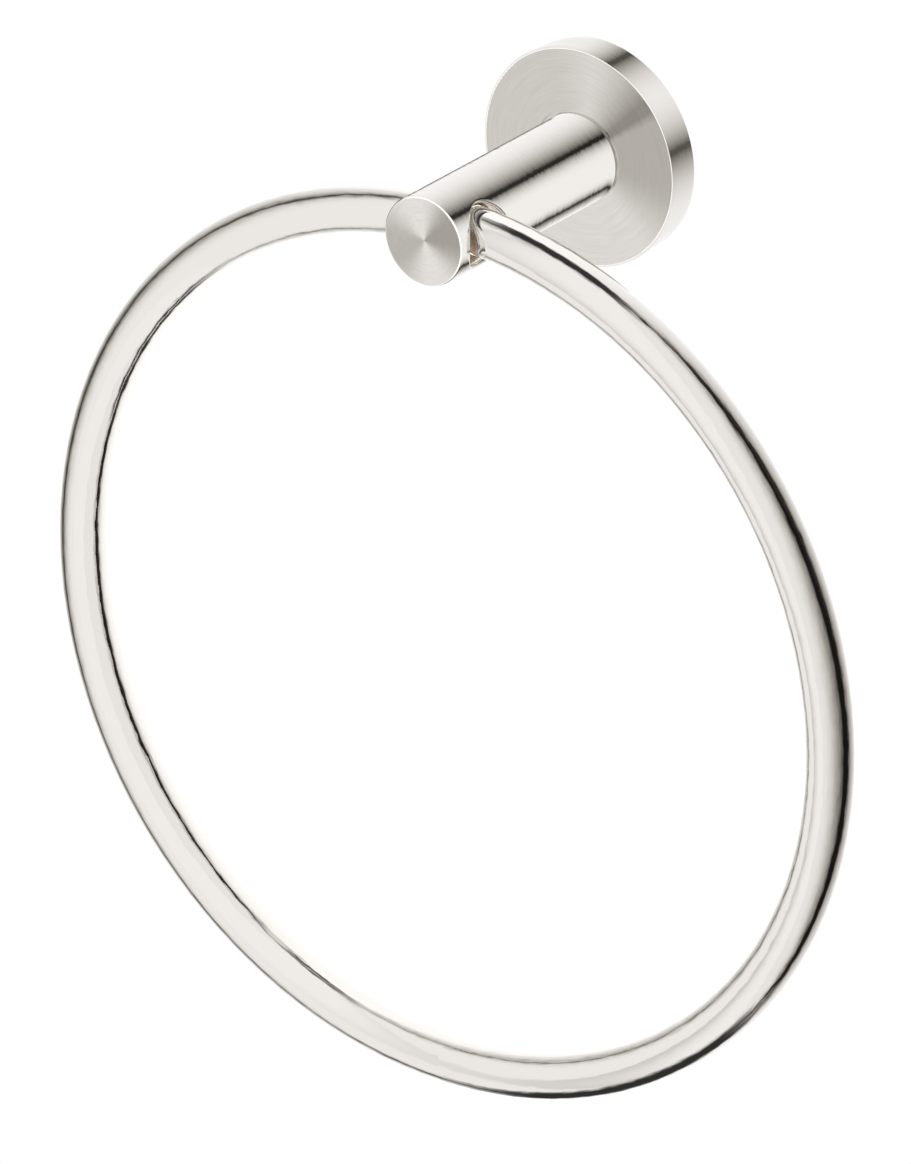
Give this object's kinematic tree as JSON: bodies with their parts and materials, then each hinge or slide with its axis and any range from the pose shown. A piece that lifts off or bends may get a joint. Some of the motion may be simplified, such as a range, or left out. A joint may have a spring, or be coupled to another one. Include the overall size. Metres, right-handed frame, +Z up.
{
  "type": "towel ring",
  "caption": "Round wall-mounted towel ring: a bent round bar that swings in the cross bore of a round post, on a round flange with a concealed wall plate.",
  "frame": {"origin": "the middle between the two wall screw holes, on the wall plane at the back of the flange and wall plate; the post's axis runs through it", "axes": "+Z up as hung, -Y out of the wall towards the room, +X to the right for someone facing the wall; the ring hangs in a plane parallel to the wall"},
  "size_m": [0.2, 0.0618, 0.218],
  "materials": {
    "satin_nickel": "satin brushed nickel, spun on the round faces",
    "steel_fixings": "plain stainless steel",
    "wall_plate_zinc": "zinc-plated steel",
    "bush_nylon": "black moulded nylon"
  },
  "bodies": {
    "bracket": {"flange": "satin_nickel", "post": "satin_nickel", "post_screw": "steel_fixings", "locating_pin": "steel_fixings", "wall_plate": "wall_plate_zinc", "grub_screw": "steel_fixings", "pivot_bush": "bush_nylon"},
    "swing_ring": {"ring": "satin_nickel", "ring_dowel": "steel_fixings"}
  },
  "joints": [
    {"name": "ring_swing", "type": "hinge", "parent": "bracket", "child": "swing_ring", "pos_m": [0, -0.0522, 0], "axis": [1, 0, 0], "range_deg": [-194, 14]}
  ]
}
